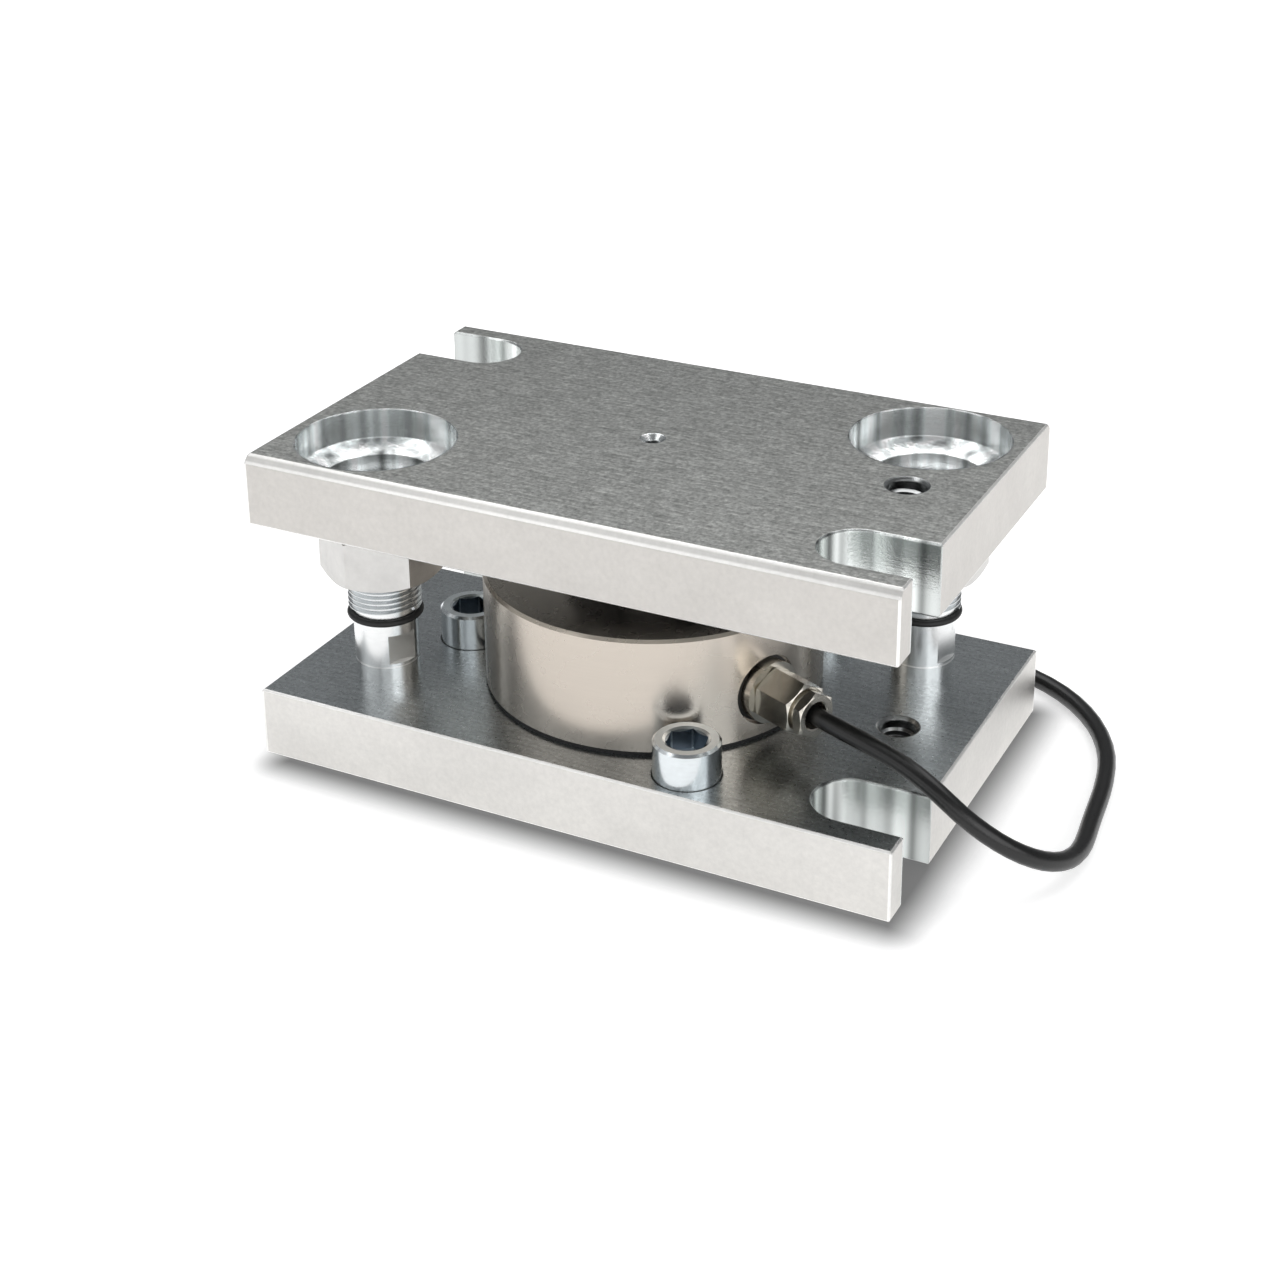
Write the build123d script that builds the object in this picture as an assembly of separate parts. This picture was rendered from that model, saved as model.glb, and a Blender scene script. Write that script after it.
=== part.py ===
# Weighing load cell: a low compression cell clamped between two slotted steel plates.
# All sizes are in millimetres. X runs along the plates and Z points up from the floor,
# with the origin under the middle of the bottom plate.
from build123d import *
import math
import os

# Plates
plate_length = 185.0
plate_width = 115.0
plate_thickness = 20.0
plate_gap = 50.0
edge_break = 0.5
top_edge_bevel = 2.3

# Open slots for the fixing bolts, at two opposite corners of each plate
slot_width = 20.0
slot_end_inset = 17.5
slot_side_inset = 18.0

# Tapped hole near one end of each plate
tapped_d = 10.0
tapped_countersink_d = 11.5
tapped_end_inset = 20.0

# Stepped holes of the top plate, over the rods
seat_d = 43.5
seat_depth = 8.5
seat_cone_depth = 2.6
rod_passage_d = 31.0
centre_hole_d = 4.2
centre_hole_mouth_d = 7.0
centre_hole_mouth_depth = 1.4

# Hold-down rods
rod_end_inset = 25.5
rod_side_inset = 25.0
rod_stud_d = 16.0
rod_stud_length = 18.0
rod_shank_d = 18.0
rod_shank_length = 20.0
rod_thread_root_d = 18.2
rod_top_stand = 3.0
rod_tip_chamfer = 1.2
rod_groove_height = 5.0
rod_groove_width = 0.8
rod_groove_depth = 0.4
rod_flat_height = 6.2
rod_flat_length = 8.6
rod_flat_width = 16.0
rod_flat_angles = {"front_left": -27.0, "back_right": -15.0}
rod_ring_section = 1.8
rod_ring_bite = 0.2

# Jack nuts and their washers
nut_flats = 30.0
nut_height = 16.0
nut_face_inset = 1.1
nut_corner_angles = {"front_left": 27.6, "back_right": 27.0}
washer_d = 37.0
washer_hole_d = 21.0
washer_thickness = 3.0

# Load cell body
cell_d = 94.0
cell_height = 33.5
cell_foot_inset = 5.0
cell_edge_chamfer = 0.8
chamber_d = 68.0
chamber_roof = 24.0
hub_d = 30.0
hub_clearance = 3.0
web_groove_d = 38.0
web_groove_depth = 3.5
cover_rebate = 2.0
cover_recess = 0.6
cover_thickness = 2.0
seal_thickness = 1.1
seal_edge_inset = 0.3

# Load button and pressure plate
button_d = 24.0
button_shank_d = 18.0
button_shank_length = 8.0
button_crown_radius = 150.0
button_edge_chamfer = 1.0
pressure_plate_d = 50.0
pressure_plate_thickness = 12.0
pressure_plate_recess = 6.0

# Locating screws around the cell
screw_angles = (-55.0, -175.0, 55.0)
screw_d = 12.0
screw_length = 16.0
screw_head_d = 18.0
screw_head_height = 12.0
screw_socket_flats = 10.0
screw_socket_depth = 6.0
screw_head_chamfer = 0.7
screw_socket_angle = 40.0
screw_socket_mouth_d = 12.6
screw_socket_mouth_depth = 0.8
screw_recess_depth = 1.7
screw_recess_clearance = 0.3
screw_cell_clearance = 0.3

# Gauges, board and wiring in the chamber
gauge_count = 4
gauge_length = 8.0
gauge_width = 5.0
gauge_thickness = 0.4
gauge_circle_d = 50.0
gauge_first_angle = 21.0
board_length = 13.0
board_width = 9.0
board_circle_d = 53.0
board_thickness = 1.6
loom_d = 1.2
loom_gap_angle = 10.0

# Cable gland, along its own axis from the middle of the cell
gland_angle = -24.0
gland_height = 13.5
spot_face_d = 19.5
spot_face_depth = 2.5
gland_thread_d = 12.0
gland_thread_length = 10.0
gland_ring_d = 18.4
gland_ring_thickness = 0.9
gland_collar_d = 17.2
gland_collar_length = 3.7
gland_flats = 13.0
gland_hex_length = 12.4
gland_face_d = 12.7
gland_chamber_d = 9.6
gland_chamber_depth = 6.0
gland_seal_length = 4.0
gland_neck_length = 1.0
gland_nut_flats = 11.4
gland_nut_length = 3.0
gland_nut_face_d = 11.2
gland_lip = 0.4
gland_mouth_d = 7.4
gland_bore_clearance = 0.2

# Cable
cable_d = 5.0
core_count = 4
core_d = 1.2
core_spacing = 1.25
core_length = 24.0
core_run = 4.5
core_straight = 5.0
core_fan = 1.6
core_bend_radius = 2.2

# The route of the free cable, from the gland over the slot to the floor and round behind
cable_first_run = 8.0
cable_route = [
    (76.0, -31.6, 32.1),
    (85.5, -33.4, 30.2),
    (95.0, -36.2, 27.1),
    (104.4, -37.8, 21.3),
    (113.8, -35.6, 15.0),
    (121.1, -29.4, 9.3),
    (125.4, -20.4, 5.0),
    (126.6, -9.6, 2.9),
    (124.6, 5.3, 2.5),
    (123.0, 23.2, 2.5),
    (119.0, 41.0, 2.5),
    (109.8, 57.0, 2.5),
    (96.0, 69.2, 2.7),
    (77.5, 75.9, 3.0),
    (55.0, 76.0, 3.3),
    (33.0, 70.5, 3.4),
]

# Coil of the cable's unseen length, behind the plates
coil_centre = (-12.0, 113.0)
coil_layers = 4
coil_turns_per_layer = 6
coil_mean_d = 60.0
coil_lead_in = 24.0
coil_tail_start = 164.0
coil_tail_end = 44.0
coil_tail_steps = 6
coil_tail_bed = 0.67
tie_count = 2
tie_first_angle = 0.0
tie_width = 4.5
tie_thickness = 0.9

# Heights and places that follow from the sizes above
top_plate_underside = plate_thickness + plate_gap
top_plate_top = top_plate_underside + plate_thickness
cell_base = plate_thickness
cell_top = cell_base + cell_height
half_length = plate_length / 2
half_width = plate_width / 2
slot_x = half_length - slot_end_inset
slot_y = half_width - slot_side_inset
tapped_x = half_length - tapped_end_inset
rod_x = half_length - rod_end_inset
rod_y = half_width - rod_side_inset
rod_sides = {"front_left": (-rod_x, -rod_y), "back_right": (rod_x, rod_y)}
rod_shank_top = plate_thickness + rod_shank_length
rod_top = top_plate_underside + rod_top_stand
pressure_plate_top = top_plate_underside + pressure_plate_recess
pressure_plate_face = pressure_plate_top - pressure_plate_thickness
screw_circle_r = (cell_d + screw_head_d) / 2 + screw_cell_clearance
screw_seat = plate_thickness - screw_recess_depth
gland_axis_height = cell_base + gland_height
cable_inner_reach = board_circle_d / 2 + core_run
spot_face_reach = cell_d / 2 - spot_face_depth
gland_ring_end = spot_face_reach + gland_ring_thickness
gland_collar_end = gland_ring_end + gland_collar_length
gland_hex_end = gland_collar_end + gland_hex_length
gland_neck_end = gland_hex_end + gland_neck_length
gland_mouth_reach = gland_neck_end + gland_nut_length
cable_exit_reach = gland_neck_end + gland_nut_length / 2
coil_band = coil_turns_per_layer * cable_d
coil_height = coil_layers * cable_d
coil_inner_r = (coil_mean_d - coil_band) / 2
coil_outer_r = (coil_mean_d + coil_band) / 2


def upright(diameter, low, high, x=0.0, y=0.0):
    """A vertical cylinder between two heights."""
    base_up = (Align.CENTER, Align.CENTER, Align.MIN)
    return Pos(x, y, low) * Cylinder(diameter / 2, high - low, align=base_up)


def upright_cone(low_d, high_d, low, high, x=0.0, y=0.0):
    """A vertical cone between two heights."""
    base_up = (Align.CENTER, Align.CENTER, Align.MIN)
    return Pos(x, y, low) * Cone(low_d / 2, high_d / 2, high - low, align=base_up)


def hexagon(flats, low, high, corner_angle=0.0, x=0.0, y=0.0):
    """A vertical hexagonal prism, sized across its flats."""
    outline = RegularPolygon(flats / 2, 6, major_radius=False)
    turned = Rot(0, 0, corner_angle) * outline
    return Pos(x, y, low) * extrude(turned, amount=high - low)


def across_corners(flats):
    """A hexagon's size across its corners."""
    return flats / math.cos(math.radians(30))


def turned_limits(flats, end_d, low, high, x=0.0, y=0.0):
    """The turned envelope that rounds a hexagon's corners at both ends, at 30 degrees."""
    corner_d = across_corners(flats)
    drop = (corner_d - end_d) / 2 * math.tan(math.radians(30))
    lower = upright_cone(end_d, corner_d, low, low + drop, x, y)
    middle = upright(corner_d, low + drop, high - drop, x, y)
    upper = upright_cone(corner_d, end_d, high - drop, high, x, y)
    return lower + middle + upper


def around(radius, angle):
    """The point at a radius and an angle about the middle of the cell."""
    turn = math.radians(angle)
    return radius * math.cos(turn), radius * math.sin(turn)


def along_gland(shape):
    """Places a shape modelled along Z so that it lies along the gland's axis."""
    out_x, out_y = around(1.0, gland_angle)
    axis = Plane(origin=(0, 0, gland_axis_height), x_dir=(0, 0, 1), z_dir=(out_x, out_y, 0))
    return axis.location * shape


def slot_cutter(low, high):
    """Both open slots, one at the right front corner and one at the left back corner."""
    past_end = slot_width
    cutter = None
    for side in (1, -1):
        middle_x = side * (slot_x + (half_length - slot_x + past_end) / 2)
        run = half_length - slot_x + past_end
        straight = Pos(middle_x, -side * slot_y, (low + high) / 2) * Box(run, slot_width, high - low)
        slot = straight + upright(slot_width, low, high, side * slot_x, -side * slot_y)
        cutter = slot if cutter is None else cutter + slot
    return cutter


def tapped_cutter(low, high):
    """The tapped hole, with its countersink at the upper face."""
    sink_depth = (tapped_countersink_d - tapped_d) / 2
    hole = upright(tapped_d, low, high, tapped_x, 0)
    sink = upright_cone(tapped_d, tapped_countersink_d, high - sink_depth, high, tapped_x, 0)
    return hole + sink


def plate_blank(low, long_edge_bevel):
    """A plate with its bevels and slots, standing on the given height."""
    high = low + plate_thickness
    blank = Pos(0, 0, (low + high) / 2) * Box(plate_length, plate_width, plate_thickness)
    if long_edge_bevel > edge_break:
        upper = blank.edges().filter_by(Axis.X).group_by(Axis.Z)[-1]
        blank = chamfer(upper, length=long_edge_bevel)
    blank = blank - slot_cutter(low, high)
    flat_rims = blank.faces().filter_by(Axis.Z).edges()
    outer_rims = [rim for rim in flat_rims if is_sharp_rim(rim, high, long_edge_bevel)]
    return chamfer(ShapeList(outer_rims), length=edge_break)


def is_sharp_rim(rim, high, long_edge_bevel):
    """True for a rim that only needs its edge broken, not one beside the long bevel."""
    beside_bevel = long_edge_bevel > edge_break and rim.center().Z > high - edge_break
    return not (beside_bevel and abs(abs(rim.center().Y) - half_width) < 2 * long_edge_bevel)


def bottom_plate():
    plate = plate_blank(0, edge_break)
    plate = plate - tapped_cutter(0, plate_thickness)
    for x, y in rod_sides.values():
        plate = plate - upright(rod_stud_d, 0, plate_thickness, x, y)
    for x, y in screw_places():
        recess_d = screw_head_d + 2 * screw_recess_clearance
        plate = plate - upright(screw_d, 0, plate_thickness, x, y)
        plate = plate - upright(recess_d, screw_seat, plate_thickness, x, y)
    return plate


def top_plate():
    low, high = top_plate_underside, top_plate_top
    plate = plate_blank(low, top_edge_bevel)
    plate = plate - tapped_cutter(low, high)
    plate = plate - upright(centre_hole_d, low, high)
    mouth_low = high - centre_hole_mouth_depth
    plate = plate - upright_cone(centre_hole_d, centre_hole_mouth_d, mouth_low, high)
    plate = plate - upright(pressure_plate_d, low, pressure_plate_top)
    for x, y in rod_sides.values():
        cone_top = high - seat_depth
        plate = plate - upright(rod_passage_d, low, high, x, y)
        plate = plate - upright(seat_d, cone_top, high, x, y)
        plate = plate - upright_cone(rod_passage_d, seat_d, cone_top - seat_cone_depth, cone_top, x, y)
    return plate


def screw_places():
    """The screw axes round the cell."""
    return [around(screw_circle_r, angle) for angle in screw_angles]


def locating_screws():
    """Socket cap screws whose heads stand against the cell's edge."""
    head_top = screw_seat + screw_head_height
    screws = []
    for x, y in screw_places():
        head = upright(screw_head_d, screw_seat, head_top, x, y)
        head = chamfer(head.edges().group_by(Axis.Z)[-1], length=screw_head_chamfer)
        socket_floor = head_top - screw_socket_depth
        head = head - hexagon(screw_socket_flats, socket_floor, head_top, screw_socket_angle, x, y)
        mouth_low = head_top - screw_socket_mouth_depth
        head = head - upright_cone(screw_socket_flats, screw_socket_mouth_d, mouth_low, head_top, x, y)
        shank = upright(screw_d, screw_seat - screw_length, screw_seat, x, y)
        screws.append(head + shank)
    return Compound(children=screws)


def hold_down_rod(side):
    """Stud, necked shank with wrench flats, and the threaded end up through the nut."""
    x, y = rod_sides[side]
    foot = plate_thickness
    stud = upright(rod_stud_d, foot - rod_stud_length, foot, x, y)
    shank = upright(rod_shank_d, foot, rod_shank_top, x, y)
    threaded = upright(rod_thread_root_d, rod_shank_top, rod_top, x, y)
    threaded = chamfer(threaded.edges().group_by(Axis.Z)[-1], length=rod_tip_chamfer)
    groove_low = foot + rod_groove_height
    groove = upright(rod_shank_d, groove_low, groove_low + rod_groove_width, x, y)
    groove = groove - upright(rod_shank_d - 2 * rod_groove_depth, groove_low,
                              groove_low + rod_groove_width, x, y)
    rod = stud + shank + threaded - groove - ring_solid(side)
    return rod - wrench_flats(side)


def wrench_flats(side):
    """The two slabs milled away beside a rod's flats."""
    x, y = rod_sides[side]
    middle = plate_thickness + rod_flat_height + rod_flat_length / 2
    slab_reach = rod_flat_width / 2 + rod_shank_d / 2
    cut = None
    for turn in (0, 180):
        slab = Box(rod_shank_d, rod_shank_d, rod_flat_length)
        placed = Pos(x, y, middle) * Rot(0, 0, rod_flat_angles[side] + turn) * Pos(slab_reach, 0, 0) * slab
        cut = placed if cut is None else cut + placed
    return cut


def ring_solid(side):
    """The rubber ring that sits in a round groove at the top of a rod's shank."""
    x, y = rod_sides[side]
    section_r = rod_ring_section / 2
    ring_r = rod_shank_d / 2 - rod_ring_bite + section_r
    return Pos(x, y, rod_shank_top - section_r) * Torus(ring_r, section_r)


def jack_nuts():
    """Hexagon nuts run up under the washers, with rounded corners above and below."""
    high = top_plate_underside - washer_thickness
    low = high - nut_height
    nuts = []
    for side, (x, y) in rod_sides.items():
        body = hexagon(nut_flats, low, high, nut_corner_angles[side], x, y)
        body = body & turned_limits(nut_flats, nut_flats - nut_face_inset, low, high, x, y)
        nuts.append(body - upright(rod_thread_root_d, low, high, x, y))
    return Compound(children=nuts)


def nut_washers():
    low = top_plate_underside - washer_thickness
    washers = []
    for x, y in rod_sides.values():
        disc = upright(washer_d, low, top_plate_underside, x, y)
        washers.append(disc - upright(washer_hole_d, low, top_plate_underside, x, y))
    return Compound(children=washers)


def cell_body():
    """The turned body: foot, gauge chamber, measuring web, hub and groove, and the gland's flat."""
    outer = cell_d / 2
    foot = outer - cell_foot_inset
    chamber = chamber_d / 2
    cover_r = chamber + cover_rebate
    cover_top = cover_recess + cover_thickness
    hub = hub_d / 2
    hub_low = cover_top + hub_clearance
    socket = button_shank_d / 2
    socket_floor = cell_height - button_shank_length
    groove_out = web_groove_d / 2
    groove_in = button_d / 2
    groove_floor = cell_height - web_groove_depth
    profile = [
        (cover_r, 0),
        (foot, 0),
        (foot, seal_thickness),
        (outer, seal_thickness),
        (outer, cell_height - cell_edge_chamfer),
        (outer - cell_edge_chamfer, cell_height),
        (groove_out, cell_height),
        (groove_out, groove_floor),
        (groove_in, groove_floor),
        (groove_in, cell_height),
        (socket, cell_height),
        (socket, socket_floor),
        (0, socket_floor),
        (0, hub_low),
        (hub, hub_low),
        (hub, chamber_roof),
        (chamber, chamber_roof),
        (chamber, cover_top),
        (cover_r, cover_top),
    ]
    section = make_face(Plane.XZ * Polyline(*profile, close=True))
    body = Pos(0, 0, cell_base) * revolve(section, Axis.Z)
    spot_face = along_gland(upright(spot_face_d, spot_face_reach, outer + spot_face_d))
    thread_hole = along_gland(upright(gland_thread_d, hub + hub_clearance, outer))
    return body - spot_face - (thread_hole - upright(chamber_d, cell_base, cell_top))


def cell_bottom_cover():
    low = cell_base + cover_recess
    return upright(chamber_d + 2 * cover_rebate, low, low + cover_thickness)


def cell_seal_ring():
    ring = upright(cell_d - 2 * seal_edge_inset, cell_base, cell_base + seal_thickness)
    foot_d = cell_d - 2 * cell_foot_inset
    return ring - upright(foot_d, cell_base, cell_base + seal_thickness)


def load_button():
    """The pressed-in button, crowned so that it meets the pressure plate in its middle."""
    head = upright(button_d, cell_top, pressure_plate_face)
    head = chamfer(head.edges().group_by(Axis.Z)[-1], length=button_edge_chamfer)
    crown = Pos(0, 0, pressure_plate_face - button_crown_radius) * Sphere(button_crown_radius)
    shank = upright(button_shank_d, cell_top - button_shank_length, cell_top)
    return (head & crown) + shank


def pressure_plate():
    disc = upright(pressure_plate_d, pressure_plate_face, pressure_plate_top)
    return chamfer(disc.edges().group_by(Axis.Z)[0], length=edge_break)


def chamber_ceiling():
    return cell_base + chamber_roof


def strain_gauge(index):
    """A foil gauge, bonded to the web with its length along the radius."""
    angle = gauge_first_angle + 360.0 / gauge_count * index
    x, y = around(gauge_circle_d / 2, angle)
    middle = chamber_ceiling() - gauge_thickness / 2
    return Pos(x, y, middle) * Rot(0, 0, angle) * Box(gauge_length, gauge_width, gauge_thickness)


def terminal_board():
    """The small board where the gauges' wires meet the cable's cores."""
    x, y = around(board_circle_d / 2, gland_angle)
    middle = chamber_ceiling() - board_thickness / 2
    return Pos(x, y, middle) * Rot(0, 0, gland_angle) * Box(board_width, board_length, board_thickness)


def gauge_wiring():
    """The loom that runs round the web outside the gauges, open at the terminal board."""
    loom_r = (gauge_circle_d + gauge_length + loom_d) / 2
    start = gland_angle + loom_gap_angle
    centre = (0, 0, chamber_ceiling() - loom_d / 2)
    path = Pos(*centre) * CenterArc((0, 0), loom_r, start, 360 - 2 * loom_gap_angle)
    loom = sweep(Plane(path @ 0, z_dir=path % 0) * Circle(loom_d / 2), path)
    return loom - terminal_board()


def core_offsets():
    """The cores side by side, each at its distance from the cable's middle."""
    return [core_spacing * (index - (core_count - 1) / 2) for index in range(core_count)]


def cable_cores():
    """The cores that leave the cable's inner end and rise to the terminal board."""
    board_face = gland_height_over_floor(chamber_ceiling() - board_thickness)
    cores = []
    for offset in core_offsets():
        start = (0, offset, cable_inner_reach)
        corner = (0, offset, board_circle_d / 2)
        finish = (board_face, offset, board_circle_d / 2)
        path = FilletPolyline(start, corner, finish, radius=core_bend_radius)
        cores.append(along_gland(sweep(Plane(path @ 0, z_dir=path % 0) * Circle(core_d / 2), path)))
    return Compound(children=cores)


def gland_height_over_floor(height):
    """A height above the floor, told from the gland's axis."""
    return height - gland_axis_height


def gland_o_ring():
    ring = upright(gland_ring_d, spot_face_reach, gland_ring_end)
    return along_gland(ring - upright(gland_thread_d, spot_face_reach, gland_ring_end))


def gland_body():
    """Thread, round collar and hexagon, bored for the cable and chambered for the seal."""
    inner_end = spot_face_reach - gland_thread_length
    thread = upright(gland_thread_d, inner_end, gland_ring_end)
    collar = upright(gland_collar_d, gland_ring_end, gland_collar_end)
    hexagonal = hexagon(gland_flats, gland_collar_end, gland_hex_end)
    envelope = turned_limits(gland_flats, gland_face_d, gland_collar_end, gland_hex_end)
    bore = upright(cable_d + 2 * gland_bore_clearance, inner_end, gland_hex_end)
    chamber = upright(gland_chamber_d, gland_hex_end - gland_chamber_depth, gland_hex_end)
    return along_gland(thread + collar + (hexagonal & envelope) - bore - chamber)


def gland_seal():
    low = gland_hex_end - gland_chamber_depth
    high = low + gland_seal_length
    return along_gland(upright(gland_chamber_d, low, high) - upright(cable_d, low, high))


def gland_nut():
    """The hexagon nut whose spigot presses the seal onto the cable."""
    spigot_low = gland_hex_end - gland_chamber_depth + gland_seal_length
    spigot = upright(gland_chamber_d, spigot_low, gland_neck_end)
    hexagonal = hexagon(gland_nut_flats, gland_neck_end, gland_mouth_reach)
    envelope = turned_limits(gland_nut_flats, gland_nut_face_d, gland_neck_end, gland_mouth_reach)
    mouth = upright(gland_mouth_d, spigot_low, gland_mouth_reach)
    lip_d = gland_mouth_d + 2 * gland_lip
    lip = upright_cone(gland_mouth_d, lip_d, gland_mouth_reach - gland_lip, gland_mouth_reach)
    return along_gland(spigot + (hexagonal & envelope) - mouth - lip)


def cable_inner_end():
    return along_gland(upright(cable_d, cable_inner_reach, cable_exit_reach))


def coil_entry():
    """Where the route meets the coil's lead-in, heading along -X on the near side."""
    centre_x, centre_y = coil_centre
    near_r = coil_outer_r - cable_d / 2
    return centre_x + coil_lead_in, centre_y - near_r, tie_thickness + cable_d / 2


def cable_points():
    """Every point of the route, straight out of the gland's mouth and on to the coil."""
    mouth_x, mouth_y = around(cable_exit_reach, gland_angle)
    first_x, first_y = around(cable_exit_reach + cable_first_run, gland_angle)
    leaving = [(mouth_x, mouth_y, gland_axis_height), (first_x, first_y, gland_axis_height)]
    return leaving + cable_route + [coil_entry()]


def corner_radii(points):
    """As large an arc at each corner as its two runs leave room for."""
    radii = []
    for before, corner, after in zip(points, points[1:], points[2:]):
        run_in = Vector(*corner) - Vector(*before)
        run_out = Vector(*after) - Vector(*corner)
        half_turn = math.radians(run_in.get_angle(run_out)) / 2
        radii.append(0.45 * min(run_in.length, run_out.length) / math.tan(half_turn))
    return radii


def cable():
    """The free cable, straight runs joined by tangent arcs."""
    points = cable_points()
    radii = corner_radii(points)
    path = FilletPolyline(*points, radius=radii)
    tube = sweep(Plane(path @ 0, z_dir=path % 0) * Circle(cable_d / 2), path)
    expected = path.length * math.pi * cable_d ** 2 / 4
    print("cable radii", [round(radius, 1) for radius in radii])
    print("cable length", round(path.length, 1), "volume over expected", round(tube.volume / expected, 4))
    return tube


def cable_coil():
    """The outer shape of the coil, with its lead-in and the tail that lies on top."""
    centre_x, centre_y = coil_centre
    low, high = tie_thickness, tie_thickness + coil_height
    ring = upright(2 * coil_outer_r, low, high, centre_x, centre_y)
    ring = ring - upright(2 * coil_inner_r, low, high, centre_x, centre_y)
    ring = chamfer(ring.edges().filter_by(GeomType.CIRCLE), length=cable_d / 5)
    entry = Plane(origin=coil_entry(), z_dir=(-1, 0, 0))
    lead_in = extrude(entry * Circle(cable_d / 2), amount=coil_lead_in)
    return ring + lead_in + coil_tail() - coil_ties()


def tail_points():
    """The tail's corners: it rises out of the top layer and then lies between two turns."""
    centre_x, centre_y = coil_centre
    lying = tie_thickness + coil_height + cable_d / 2 - coil_tail_bed
    step = (coil_tail_end - coil_tail_start) / coil_tail_steps
    points = []
    for index in range(coil_tail_steps + 1):
        angle = math.radians(coil_tail_start + step * index)
        height = lying - cable_d if index == 0 else lying
        x = centre_x + coil_mean_d / 2 * math.cos(angle)
        y = centre_y + coil_mean_d / 2 * math.sin(angle)
        points.append((x, y, height))
    return points


def coil_tail():
    """The cable's last stretch, resting on top of the coil."""
    points = tail_points()
    path = FilletPolyline(*points, radius=corner_radii(points))
    return sweep(Plane(path @ 0, z_dir=path % 0) * Circle(cable_d / 2), path)


def coil_ties():
    """Flat straps round the coil's band."""
    centre_x, centre_y = coil_centre
    straps = []
    for index in range(tie_count):
        angle = tie_first_angle + 360.0 / tie_count * index
        outer = Box(coil_band + 2 * tie_thickness, tie_width, coil_height + 2 * tie_thickness)
        inner = Box(coil_band, tie_width, coil_height)
        strap = Pos(centre_x, centre_y, tie_thickness + coil_height / 2) * Rot(0, 0, angle) \
            * Pos(coil_mean_d / 2, 0, 0) * (outer - inner)
        straps.append(strap)
    return Compound(children=straps)


def core_leads():
    """The bare cores at the cable's free end, fanned out on top of the coil."""
    before, tip = tail_points()[-2:]
    onward = Plane(origin=tip, x_dir=(0, 0, 1), z_dir=(Vector(*tip) - Vector(*before)).normalized())
    cores = []
    for offset in core_offsets():
        start = (0, offset, 0)
        corner = (0, offset, core_straight)
        finish = (0, offset * (1 + core_fan), core_length)
        path = FilletPolyline(start, corner, finish, radius=core_bend_radius)
        core = sweep(Plane(path @ 0, z_dir=path % 0) * Circle(core_d / 2), path)
        cores.append(onward.location * core)
    return Compound(children=cores)


def all_nodes():
    nodes = {
        "bottom_plate": bottom_plate(),
        "top_plate": top_plate(),
        "cell_body": cell_body(),
        "cell_bottom_cover": cell_bottom_cover(),
        "cell_seal_ring": cell_seal_ring(),
        "load_button": load_button(),
        "pressure_plate": pressure_plate(),
        "locating_screws": locating_screws(),
        "jack_nuts": jack_nuts(),
        "nut_washers": nut_washers(),
        "terminal_board": terminal_board(),
        "gauge_wiring": gauge_wiring(),
        "gland_o_ring": gland_o_ring(),
        "gland_body": gland_body(),
        "gland_seal": gland_seal(),
        "gland_nut": gland_nut(),
        "cable_inner_end": cable_inner_end(),
        "cable_cores": cable_cores(),
        "cable": cable(),
        "cable_coil": cable_coil(),
        "coil_ties": coil_ties(),
        "core_leads": core_leads(),
    }
    for side in rod_sides:
        nodes["hold_down_rod_" + side] = hold_down_rod(side)
        nodes["rod_ring_" + side] = ring_solid(side)
    for index in range(gauge_count):
        nodes["strain_gauge_" + str(index + 1)] = strain_gauge(index)
    return nodes


os.makedirs("parts", exist_ok=True)
for name, shape in all_nodes().items():
    export_step(shape, "parts/" + name + ".step")
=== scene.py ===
import math

import bpy
from mathutils import Matrix, Vector


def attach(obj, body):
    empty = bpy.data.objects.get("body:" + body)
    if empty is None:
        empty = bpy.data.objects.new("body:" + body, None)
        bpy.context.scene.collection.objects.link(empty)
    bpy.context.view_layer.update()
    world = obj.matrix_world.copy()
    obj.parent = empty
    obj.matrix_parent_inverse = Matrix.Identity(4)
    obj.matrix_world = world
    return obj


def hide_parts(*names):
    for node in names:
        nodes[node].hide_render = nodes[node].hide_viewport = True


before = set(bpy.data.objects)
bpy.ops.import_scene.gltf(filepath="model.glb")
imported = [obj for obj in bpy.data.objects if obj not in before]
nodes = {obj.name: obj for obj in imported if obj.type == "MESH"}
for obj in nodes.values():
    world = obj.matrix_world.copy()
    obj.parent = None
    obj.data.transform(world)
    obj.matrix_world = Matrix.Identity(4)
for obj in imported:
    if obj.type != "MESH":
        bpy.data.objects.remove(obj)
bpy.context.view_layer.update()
bpy.ops.object.select_all(action="DESELECT")

# Sizes of the weigh module that the finishes and the added pieces follow, in metres
plate_half_length = 0.0925
plate_half_width = 0.0575
plate_thickness = 0.020
top_plate_underside = 0.070
top_plate_top = 0.090
rod_places = {"front_left": (-0.067, -0.0325), "back_right": (0.067, 0.0325)}
rod_thread_low = 0.0402
rod_thread_high = 0.0732
rod_root_radius = 0.0091
rod_crest_radius = 0.0100
rod_pitch = 0.0015
tapped_place = (0.0725, 0.0)
tapped_radius = 0.0050
tapped_mouth_radius = 0.0060
tapped_crest_radius = 0.00428
tapped_pitch = 0.0015
tapped_sink = 0.00075
stepped_hole_radius = 0.0221
centre_hole_radius = 0.0036
slot_end = (0.0750, -0.0395)
slot_radius = 0.0105
bevel_low = 0.0877
rim_width = 0.0006
worn_edge_radius = 0.0006
screw_places = [(0.03229, -0.04612), (-0.05609, -0.00491), (0.03229, 0.04612)]
socket_radius = 0.0056
cable_diameter = 0.005

# How a thread's ridge is drawn: its reach into the metal in metres, its width as a share of the pitch, its
# crest's width as a share of its root's, its steps in one turn, and how close points have to be to join
thread_overlap = 0.0003
thread_fullness = 0.98
thread_crest_share = 0.16
thread_steps = 40
thread_weld = 0.00001
thread_smooth_angle = math.radians(35)

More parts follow.
